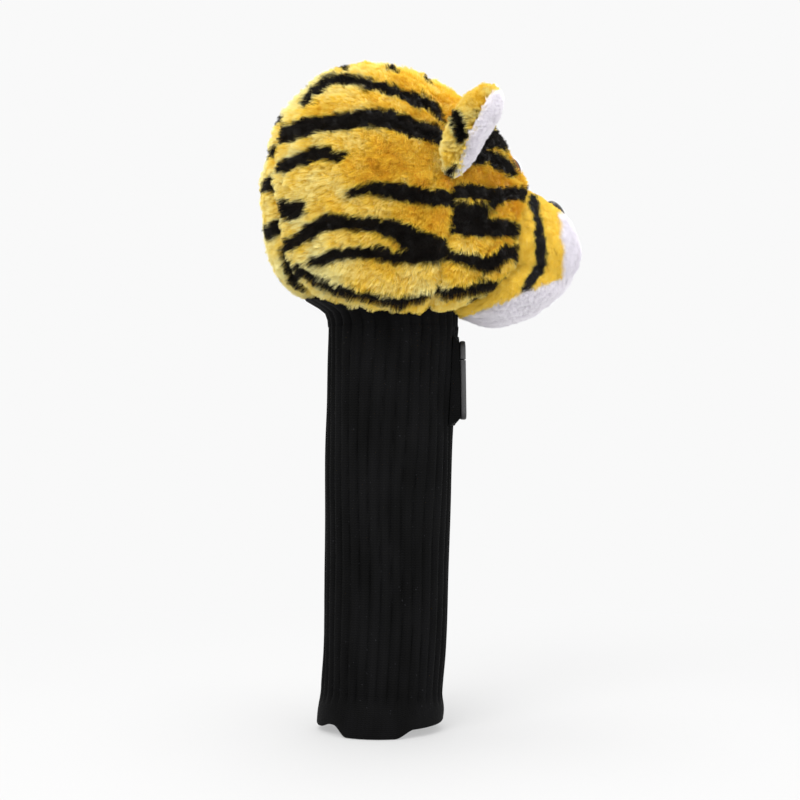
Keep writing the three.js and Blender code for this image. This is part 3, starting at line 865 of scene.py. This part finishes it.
def lathe(profile, sides=48):
    """A closed profile of (distance along X, radius) points, spun about X."""
    profile = np.array(profile, float)
    angles = np.arange(sides) * 2 * math.pi / sides
    x = np.repeat(profile[:, 0], sides)
    y = np.outer(profile[:, 1], np.cos(angles)).ravel()
    z = np.outer(profile[:, 1], np.sin(angles)).ravel()
    return np.stack([x, y, z], axis=1), grid_faces(len(profile), sides, True)


def dome_profile(radius, height, shank, length, steps=14):
    """From the dome's tip, over its rim, to the end of its shank."""
    quarter = np.linspace(0, math.pi / 2, steps)
    arc = [(height * math.cos(a), max(radius * math.sin(a), 0.02)) for a in quarter]
    rim = [(-0.4, radius * 0.97), (-0.6, radius * 0.8), (-0.6, shank)]
    return [*arc, *rim, (-length, shank), (-length, 0.02)]


def seated(points, centre, outward):
    """Turns points so that +X looks along outward, and moves them to centre."""
    spin = Vector((1, 0, 0)).rotation_difference(Vector(outward)).to_matrix()
    return points @ np.array(spin).T + centre


def eye_seat():
    centre = on_head(EYE_DIRECTION)[0]
    below = on_head(direction(EYE["turn"], EYE["lift"] - 1))[0] - centre
    inward = on_head(direction(EYE["turn"] + 1, EYE["lift"]))[0] - centre
    normal = np.cross(below, inward)
    return centre, normal / np.linalg.norm(normal)


def flip_faces(faces):
    return np.asarray(faces)[:, ::-1]


def eyes():
    centre, normal = eye_seat()
    button = lathe(dome_profile(EYE["radius"], EYE["dome"], EYE_SHANK["radius"], EYE_SHANK["length"]))
    ring = washer_ring(EYE_WASHER["radius"])
    for side, mirror in MIRRORS:
        for node, form, (shape, faces), look, sunk in (
            (f"{side}_eye", "button", button, "eye", EYE["sunk"]),
            (f"{side}_eye_washer", "ring", ring, "washer", EYE_WASHER["sunk"]),
        ):
            placed = seated(shape - (sunk, 0, 0), centre, normal) * (1, mirror, 1)
            turned = flip_faces(faces) if mirror > 0 else faces
            made = make_object(f"{node}_{form}", placed, turned, LOOKS[look])
            radii = np.hypot(shape[:, 1], shape[:, 2])
            set_pattern(made, 0.5 + radii / PATTERN_SPAN, radii * 0)
            finish_piece(made, "head", node)


def washer_ring(radius):
    return lathe([(0, 2.7), (0, radius), (-1.2, radius), (-1.2, 2.7), (0, 2.7)], 32)


def nose():
    """A low, soft-cornered triangle of black plastic, wide at the top."""
    ball, faces = unit_sphere(5)
    x, y, z = ball.T
    width = NOSE["half_width"] * (0.6 + 0.4 * ramp(z, -0.9, 0.6))
    depth = NOSE["depth"] - 1.05 * near(y, 0.25) * near(z + 0.5, 0.4)
    across = width * np.sign(y) * np.abs(y) ** 0.88
    points = np.stack([depth * x, across, NOSE["half_height"] * z], axis=1)
    turn = turn_y(NOSE["tilt"]).T
    made = make_object("nose_button", points @ turn + NOSE["centre"], faces, LOOKS["nose"])
    finish_piece(made, "head", "nose")
    ring, faces = washer_ring(NOSE_WASHER["radius"])
    placed = (ring - (NOSE_WASHER["sunk"], 0, 0)) @ turn + NOSE_WASHER["seat"]
    made = make_object("nose_washer_ring", placed, flip_faces(faces), LOOKS["washer"])
    finish_piece(made, "head", "nose_washer")


# ----- Snout, and the layers inside -----


def snout():
    """A band and two pads above the mouth, and the jaw below it, cut from one outline."""
    ball, faces = unit_sphere(7)
    points = on_snout(ball)
    outward = vertex_normals(points, faces)
    lip = above_mouth(points)
    x, y, z = points.T
    between_pads = near(y, 2.5) * 0.8 * ramp(x, 94, 104) * (z < 303) * (lip > 0)
    pads = 1.6 * ramp(x, 98, 106) * near(np.abs(y) - 17, 12) * ramp(lip, 3, 14)
    tucked = 2.4 * ramp(x, 84, 104) * ramp(-z, -262, -248)
    tucked += 2.6 * ramp(-outward[:, 2], 0.5, 1)
    mouth_line = (1.9 - 0.9 * (x < BAND_X)) * near(lip, 4)
    relief = 0.35 * lumps(points, 6, 41) + 0.6 * lumps(points, 24, 42)
    relief += pads - 2 * between_pads - tucked - mouth_line
    shaped = points + outward * (relief - SHORT_PILE)[:, None]
    side_view = seen_from_side(points)
    # The stripe fades out on top of the snout.
    stripe = outside_stripes(side_view, BAND_STRIPES) + 0.6 * lumps(points, 5, 43) + 4 * near(y, 9)
    white_edge = side_view[:, 0] + 0.6 * lumps(points, 9, 44) + 0.08 * (z - 285)
    white = ramp(white_edge, *SNOUT_FADE)

    middle = points[faces].mean(axis=1)
    beside_sleeve = np.hypot(middle[:, 0] - SLEEVE["lean"][1], middle[:, 1]) < SLEEVE["radii"][2] + 2
    shown = (outside_head(middle) > -13) & ~beside_sleeve
    upper = above_mouth(middle) > 0
    ahead = middle[:, 0] > BAND_X
    right = middle[:, 1] < 0
    regions = {
        "snout_band": (upper & ~ahead, "snout", "striped_fur", 3, (-0.5, 0, -0.35)),
        "right_muzzle_pad": (upper & ahead & right, "snout", "white_plush", 3, (-0.5, 0, -0.35)),
        "left_muzzle_pad": (upper & ahead & ~right, "snout", "white_plush", 3, (-0.5, 0, -0.35)),
        "jaw_panel": (~upper, "white", "white_plush", 2.5, (-0.5, 0, -0.2)),
    }
    for seed, (node, (wanted, look, slot, strands, lean)) in enumerate(regions.items(), 60):
        kept = keep_faces(shaped, faces, shown & wanted, outward, stripe, white)
        sheet, some, normals, line, pale = kept
        solid, all_faces = give_back(sheet, some, -PLUSH_BACK * normals)
        made = make_object(f"{node}_plush", solid, all_faces, LOOKS[look])
        set_stripes(made, line, pale)
        add_pile(made, PILE_LENGTH["snout"], strands * len(some), seed, lean, FINE)
        finish_piece(made, "head", node)


def inner_layers():
    """Padding and lining follow the head's outline, and one lump of fibre fills the muzzle."""
    ball, faces = unit_sphere(5)
    for node, look, slot, inset, thick, hole in (
        ("head_padding", "fill", "fibrefill", 12.4, 3.2, 42),
        ("pocket_lining", "lining", "lining_cloth", 16.6, 1.4, 38),
    ):
        outer = on_head(ball, inset)
        quilt = 0.5 * lumps(outer, 14, 81)
        outward = vertex_normals(outer, faces)
        middle = outer[faces].mean(axis=1)
        kept = (np.hypot(middle[:, 0], middle[:, 1]) > hole) | (middle[:, 2] > HEAD["widest_z"])
        quilted = outer + outward * (quilt - 0.5)[:, None]
        sheet, some, normals = keep_faces(quilted, faces, kept, outward)
        solid, all_faces = give_back(sheet, some, -thick * normals)
        made = make_object(node + "_layer", solid, all_faces, LOOKS[look])
        finish_piece(made, "head", node)
    points = on_snout(ball, 7)
    points = points + 0.8 * lumps(points, 12, 82)[:, None] * vertex_normals(points, faces)
    # Its back is pressed forwards until it clears the head's fur.
    for _ in range(14):
        inside = (outside_head(points) < 9)[:, None]
        points = points + inside * 0.12 * (np.array(SNOUT_FRONT) - points)
    made = make_object("muzzle_filling", points, faces, LOOKS["fill"])
    finish_piece(made, "head", "muzzle_stuffing")


# ----- Ears -----


def ears():
    ball, faces = unit_sphere(6)
    x, y, z = ball.T
    radius = EAR["radius"]
    thin = 1 - 0.72 * ramp(y * radius, -14, 12)
    turn = turn_y(EAR["lean"])
    for half, sign, look, slot in (
        ("back", -1, "fur", "striped_fur"),
        ("front", 1, "white", "white_plush"),
    ):
        fuller = 1 + 0.25 * near(z * radius - 12, 12) * (half == "front")
        local = np.stack([x * EAR[half] * thin * fuller, y * radius, z * radius], axis=1)
        outward = vertex_normals(local, faces)
        rim = near(np.hypot(y, z) - 1, 0.08)
        dish = 2.5 * near(np.hypot(y + 0.1, z), 0.5) if half == "front" else 0
        depth = (PILE if half == "back" else SHORT_PILE) * thin
        relief = 0.5 * lumps(local, 9, 91) - depth - dish - 0.9 * rim
        shaped = local + outward * relief[:, None]
        middle = local[faces].mean(axis=1)
        placed_middle = middle @ turn.T + EAR["centre"]
        # Away from the root, the back's pile wraps over the rim at both ends.
        split = 9 * ramp(middle[:, 2], 16, 28) + 3 * ramp(-middle[:, 2], 6, 26)
        split = split * ramp(-middle[:, 1], -4, 8)
        shown = ((middle[:, 0] - split) * sign > -0.35) & (outside_head(placed_middle) > -5)
        stripe = outside_stripes(local[:, [0, 2]], EAR_STRIPES) + lumps(local, 4, 93)
        tone = 0.7 + 0.2 * lumps(local, 14, 92)
        kept = keep_faces(shaped, faces, shown, outward, stripe, tone, thin)
        sheet, some, normals, line, tones, full = kept
        solid, all_faces = give_back(sheet, some, -EAR_BACK * full[:, None] * normals)
        strands = 5 * len(some)
        for side, mirror in MIRRORS:
            flip = (1, mirror, 1)
            placed = (solid @ turn.T + EAR["centre"]) * flip
            turned = all_faces if mirror > 0 else [f[::-1] for f in all_faces]
            made = make_object(f"{side}_ear_{half}_plush", placed, turned, LOOKS[look])
            set_stripes(made, line, tones)
            if half == "back":
                lean = (-0.2, -0.3 * mirror, -0.3)
                add_pile(made, PILE_LENGTH["ear_back"], strands, 95 + mirror, lean, full=full)
            else:
                lean = (0, -0.3 * mirror, 0.3)
                add_pile(made, PILE_LENGTH["ear_front"], strands, 97 + mirror, lean, FINE, full)
            finish_bending(made, f"{side}_ear_{half}")


# ----- Knit: sleeve, hem, gather, and the elastic inside -----

COLUMNS = RIBS * 8
AROUND = np.arange(COLUMNS) * 2 * math.pi / COLUMNS
SQUARING = 40  # the sleeve's lowest rings turn square to the hem's slide over this height
HEM_SLIDE = joints["sleeve_push_up"]


def tube_radius(z):
    middle_z = (SLEEVE["low_z"] + SLEEVE["top_z"]) / 2
    return np.interp(z, [SLEEVE["low_z"], middle_z, SLEEVE["top_z"]], SLEEVE["radii"])


def tube_centre(z):
    share = (z - SLEEVE["low_z"]) / (SLEEVE["top_z"] - SLEEVE["low_z"])
    low_x, top_x = SLEEVE["lean"]
    return low_x + share * (top_x - low_x) + 1.9 * near(z - 72, 55)


def rib_height(angle, z):
    """1 on top of a rib and 0 in the groove beside it. The ribs wander a little on their way down."""
    wander = 0.22 * np.sin(z / 61 + 2 * np.cos(angle)) + 0.12 * np.sin(z / 23 + 3 * angle)
    phase = (angle * RIBS / (2 * math.pi) + wander + (z - 130) * 0.0016) % 1
    return 1 - np.abs(2 * phase - 1) ** 2.2


def tube_point(angle, z, radius, square=0.0):
    """Points on the tube. Square turns the ring from level (0) to square to the hem's slide (1)."""
    along = radius * np.cos(angle)
    across = SLEEVE["flat"] * radius * np.sin(angle)
    tip = square * HEM_SLIDE["axis"][0] / HEM_SLIDE["axis"][2]
    return np.stack([tube_centre(z) + along, across, z - tip * along], axis=-1)


def closed_band(name, rows, look):
    """A band from rows of points, one after another round its thickness."""
    columns = len(rows[0])
    faces = grid_faces(len(rows) + 1, columns, True)
    return make_object(name, np.concatenate([*rows, rows[0]]), faces, LOOKS[look])


def knit_band(name, rows, stitches):
    """A closed band of knit. Stitches counts the courses at each row and where the band closes."""
    made = closed_band(name, rows, "knit")
    around = np.tile(np.arange(COLUMNS) / COLUMNS, len(rows) + 1)
    set_pattern(made, around * RIBS * 3, np.repeat(stitches, COLUMNS))
    weld(made)
    return made


def weld(made):
    mesh = bmesh.new()
    mesh.from_mesh(made.data)
    bmesh.ops.remove_doubles(mesh, verts=mesh.verts, dist=1e-6)
    mesh.to_mesh(made.data)
    mesh.free()
    made.data.set_sharp_from_angle(angle=SHARP)


def square_share(z):
    return ramp(-z, -SLEEVE["low_z"] - SQUARING, -SLEEVE["low_z"])


def knit_sleeve():
    heights = np.linspace(SLEEVE["low_z"], SLEEVE["top_z"], 120)
    rows = []
    for z in heights:
        slack = 0.5 * np.sin(z / 19 + 2 * AROUND) * np.sin(z / 47 + AROUND)
        slack = slack * ramp(z, SLEEVE["low_z"], 45)
        slack += 0.3 * np.sin(z / 9 + 5 * AROUND) * ramp(z, 150, 235)
        crease = near(np.cos(AROUND - 0.6) * 36 - 27 + (z - 226) * 0.45, 2.2)
        slack -= 1.3 * crease * ramp(z, 196, 212)
        radius = tube_radius(z) - 0.1 + slack + (rib_height(AROUND, z) - 1) * RIB_DEPTH
        rows.append(tube_point(AROUND, z, radius, square_share(z)))
    for z in heights[::-6]:
        rows.append(tube_point(AROUND, z, tube_radius(z) - 2.6, square_share(z)))
    stitches = np.concatenate([heights, heights[::-6], heights[:1]]) / 1.5
    made = knit_band("rib_knit_sleeve", rows, stitches)
    finish_piece(made, "sleeve", "knit_sleeve")
    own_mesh(made)


def hem_band():
    join_z = SLEEVE["low_z"]
    join_radius = tube_radius(join_z)
    # The cut edge waves: it hangs lowest at both sides and rises at the front and back.
    front = np.cos(AROUND)
    sides = ramp(front, 0.25, 0.6) + ramp(-front, 0.5, 0.74)
    edge_z = 1.4 + 4.4 * ramp(front, 0.25, 0.55) + 6 * ramp(-front, 0.5, 0.74)
    edge_z -= 3.4 * ramp(-front, 0.8, 1)
    ribs = (rib_height(AROUND, join_z) - 1) * RIB_DEPTH
    rows = []
    for share in np.linspace(1, 0, 18):
        z = (join_z - 0.05) * share + (1 - share) * edge_z
        swell = (0.5 * np.sin(AROUND * 3 + share * 2) - 0.7 * (sides - 0.5)) * (1 - share)
        spread = 1.7 * ramp(-share, -0.95, -0.2) - 0.1
        radius = join_radius + spread + swell + ribs * ramp(share, 0.5, 0.95)
        rows.append(tube_point(AROUND, z, radius, share))
    low_z = rows[-1][:, 2]
    low_radius = join_radius + 1.6 + 0.5 * np.sin(AROUND * 3) - 0.7 * (sides - 0.5)
    for lift, inset in ((-0.9, 0.5), (-1.2, 1.4), (-0.9, 2.4), (0.4, 3.0)):
        rows.append(tube_point(AROUND, low_z + lift, low_radius - inset))
    # Its seam allowance stands up inside the sleeve.
    for z, inset in ((6, 2.4), (12, 3), (18, 3.8), (27.5, 4.5), (27.8, 4), (27.5, 3.5), (24.1, 3.5)):
        rows.append(tube_point(AROUND, z, join_radius - inset, min(1, z / 24)))
    made = knit_band("plain_hem_band", rows, np.linspace(0, 34, len(rows) + 1))
    finish_piece(made, "hem", "hem_band")


def neck_gather():
    """The sleeve's top, spread in folds and sewn inside the opening under the head."""
    levels = (236.4, 240, 243.5, 246, 248, 249.8)
    radii = (38.4, 38.6, 39.3, 41.5, 44, 46.6)
    centres = (3, 2.8, 2, 0.4, -1.4, -2.6)
    rows = []
    for share in np.linspace(0, 1, 26):
        at = share * (len(levels) - 1)
        z, radius, centre = (np.interp(at, range(len(levels)), v) for v in (levels, radii, centres))
        folds = 1.1 * np.sin(AROUND * 9 + 1.5 * np.sin(AROUND * 2) + share)
        folds = folds * share * (1 - share * 0.4)
        ribs = (rib_height(AROUND, SLEEVE["top_z"]) - 1) * RIB_DEPTH * (1 - 0.6 * share)
        reach = radius + folds + ribs
        flat = SLEEVE["flat"] + (1 - SLEEVE["flat"]) * share
        x = centre + reach * np.cos(AROUND)
        z = z + 0.5 * folds - 2.4 * share * np.cos(AROUND)
        rows.append(np.stack([x, flat * reach * np.sin(AROUND), z], axis=1))
    for row in rows[::-5]:
        middle = row.mean(axis=0)
        rows = [*rows, middle + (row - middle) * (0.945, 0.945, 1) + (0, 0, 1.4)]
    made = knit_band("gathered_neck", rows, np.linspace(0, 20, len(rows) + 1))
    finish_bending(made, "neck_gather")


def neck_elastic():
    angle = np.arange(96) * 2 * math.pi / 96
    rows = []
    for z, inset in ((226, 0.3), (230, 0), (234, 0.3), (234, 1.1), (230, 1.2), (226, 1.1)):
        rows.append(tube_point(angle, z, 35 - inset + 0.25 * np.sin(angle * 24)))
    made = closed_band("neck_elastic_band", rows, "elastic")
    weld(made)
    finish_piece(made, "sleeve", "neck_elastic")


# ----- Tag -----


def plate_outline(low, high, corner_low, corner_high):
    """Y and Z round a plate with rounded corners, two of each size."""
    outline = []
    for z, corner, upwards, first in ((low, corner_low, -1, 180), (high, corner_high, 1, 0)):
        for side in (upwards, -upwards):
            y = side * (TAG["width"] / 2 - corner)
            turns = np.radians(np.linspace(first, first + 90, 7 if corner > 0.5 else 1))
            for turn in turns:
                up = corner * (math.sin(turn) - upwards)
                outline.append((y + corner * math.cos(turn), z + up))
            first += 90
    return outline


def rounded_plate(outline, thick):
    """A plate with its front face on X = 0 and softened edges."""
    mesh = bmesh.new()
    face = mesh.faces.new([mesh.verts.new((0, y, z)) for y, z in outline])
    grown = bmesh.ops.extrude_face_region(mesh, geom=[face])
    for v in grown["geom"]:
        if isinstance(v, bmesh.types.BMVert):
            v.co.x -= thick
    bmesh.ops.recalc_face_normals(mesh, faces=mesh.faces)
    flat = [e for e in mesh.edges if abs(e.verts[0].co.x - e.verts[1].co.x) < 1e-6]
    # The groove's edges stay sharp.
    edges = [e for e in flat if max(abs(v.co.z) for v in e.verts) > TAG["groove"]]
    bmesh.ops.bevel(mesh, geom=edges, offset=1.2, segments=3, profile=0.6, affect="EDGES")
    mesh.verts.index_update()
    points = np.array([v.co for v in mesh.verts])
    faces = [[v.index for v in f.verts] for f in mesh.faces]
    mesh.free()
    return points, faces


def tag():
    turn = turn_y(TAG["tilt"])
    edge = TAG["groove"] / 2
    sewn = plate_outline(edge, TAG["up"], 0.2, TAG["corner"])
    loose = plate_outline(-TAG["down"], -edge, TAG["corner"], 0.2)
    for name, outline, body, node in (
        ("tag_sewn_part", sewn, "sleeve", "tag_top"),
        ("tag_loose_flap", loose, "tag", "tag_flap"),
    ):
        points, faces = rounded_plate(outline, TAG["thick"])
        made = make_object(name, points @ turn.T + TAG_FACE, faces, LOOKS["rubber"])
        finish_piece(made, body, node)


def tag_backing():
    """A padded cloth, flat under the tag and round where it is sewn to the sleeve."""
    columns = 40
    low_z, top_z = BACKING["low_z"], BACKING["top_z"]
    heights = np.linspace(low_z, top_z, 40)
    angle = np.linspace(-BACKING["half_angle"], BACKING["half_angle"], columns)
    slope = math.tan(math.radians(TAG["tilt"]))
    front, back = [], []
    for z in heights:
        close = tube_point(angle, z, tube_radius(z) + 0.2)
        padded = TAG_FACE[0] + slope * (z - TAG_FACE[2]) - TAG["thick"] - 0.3
        under_tag = ramp(z, low_z, low_z + 4.5) * ramp(-z, -top_z, 3.5 - top_z)
        cloth = tube_point(angle, z, tube_radius(z) + 0.6 + 0.8 * under_tag)
        cloth[:, 0] += (np.maximum(padded, close[:, 0] + 0.8) - cloth[:, 0]) * under_tag
        front.append(cloth)
        back.append(close)
    front, back = np.concatenate(front), np.concatenate(back)
    solid, faces = give_back(front, grid_faces(len(heights), columns, False), back - front)
    made = make_object("tag_backing_cloth", solid, faces, LOOKS["knit"])
    across = np.tile(np.tile(angle * 30, len(heights)), 2)
    set_pattern(made, across, np.tile(np.repeat(heights, columns), 2) / 1.3)
    finish_piece(made, "sleeve", "tag_backing")


# ----- Studio -----


def add_light(name, where, target, size, power):
    data = bpy.data.lights.new(name, "AREA")
    data.energy = power
    data.size = size
    light = add_object(name, data)
    light.location = where
    light.rotation_euler = (Vector(target) - Vector(where)).to_track_quat("-Z", "Y").to_euler()


BACKDROP = 0.947  # the brightness of the backdrop
FRAME_WIDTH = 0.472  # what the picture is wide at the cover's centre plane, in metres
SENSOR = 36
CAMERA_X, CAMERA_Z = 7.1, 193.5


def studio():
    low, high = cad_box
    middle = Vector(((low[0] + high[0]) / 2, 0, (low[2] + high[2]) / 2))
    floor_mesh = bpy.data.meshes.new("floor")
    corners = [(-6, -6, 0), (6, -6, 0), (6, 6, 0), (-6, 6, 0)]
    floor_mesh.from_pydata(corners, [], [(0, 1, 2, 3)])
    paper = Look("pale_floor", Roughness=1.0)
    paper.set({"Specular IOR Level": 0.0})
    near_cover = paper.mix(paper.noise(400), "#c0c0c0", "#c4c4c4")
    coordinates = paper.node("ShaderNodeTexCoord", {}, "Object")
    distance = paper.node("ShaderNodeVectorMath", {0: coordinates}, 1, operation="LENGTH")
    # Further out the floor takes the backdrop's own brightness, so that no horizon shows.
    fade = paper.span(distance, 0.06, 0.55, 0.45, 1.0)
    paper.set({"Base Color": paper.mix(fade, near_cover, "#000000")})
    paper.set({"Emission Color": "#ffffff", "Emission Strength": paper.times(fade, BACKDROP)})
    floor_mesh.materials.append(paper.material)
    add_object("floor", floor_mesh)

    world = bpy.data.worlds.new("studio")
    bpy.context.scene.world = world
    world.use_nodes = True
    background = world.node_tree.nodes["Background"]
    background.inputs["Color"].default_value = (1, 1, 1, 1)
    background.inputs["Strength"].default_value = BACKDROP

    add_light("key", (-0.5, -1.1, 1.25), middle, 0.9, 19)
    add_light("fill", (0.9, -1.1, 0.08), middle, 1.2, 16)
    add_light("top", (0.0, 0.1, 1.4), middle, 0.8, 8)
    add_light("back", (0.2, 1.2, 0.9), middle, 1.0, 6)

    camera = add_object("camera", bpy.data.cameras.new("camera"))
    bpy.context.scene.camera = camera
    camera.data.sensor_width = SENSOR
    camera.data.lens = SENSOR * VIEW_DISTANCE * MM / FRAME_WIDTH
    camera.data.clip_start = 0.01
    camera.location = to_row((CAMERA_X, -VIEW_DISTANCE, CAMERA_Z))
    camera.rotation_euler = (math.pi / 2, 0, 0)
    bpy.context.scene.view_settings.view_transform = "Standard"


head_panels()
snout()
inner_layers()
ears()
eyes()
nose()
knit_sleeve()
hem_band()
neck_gather()
neck_elastic()
tag()
tag_backing()
studio()
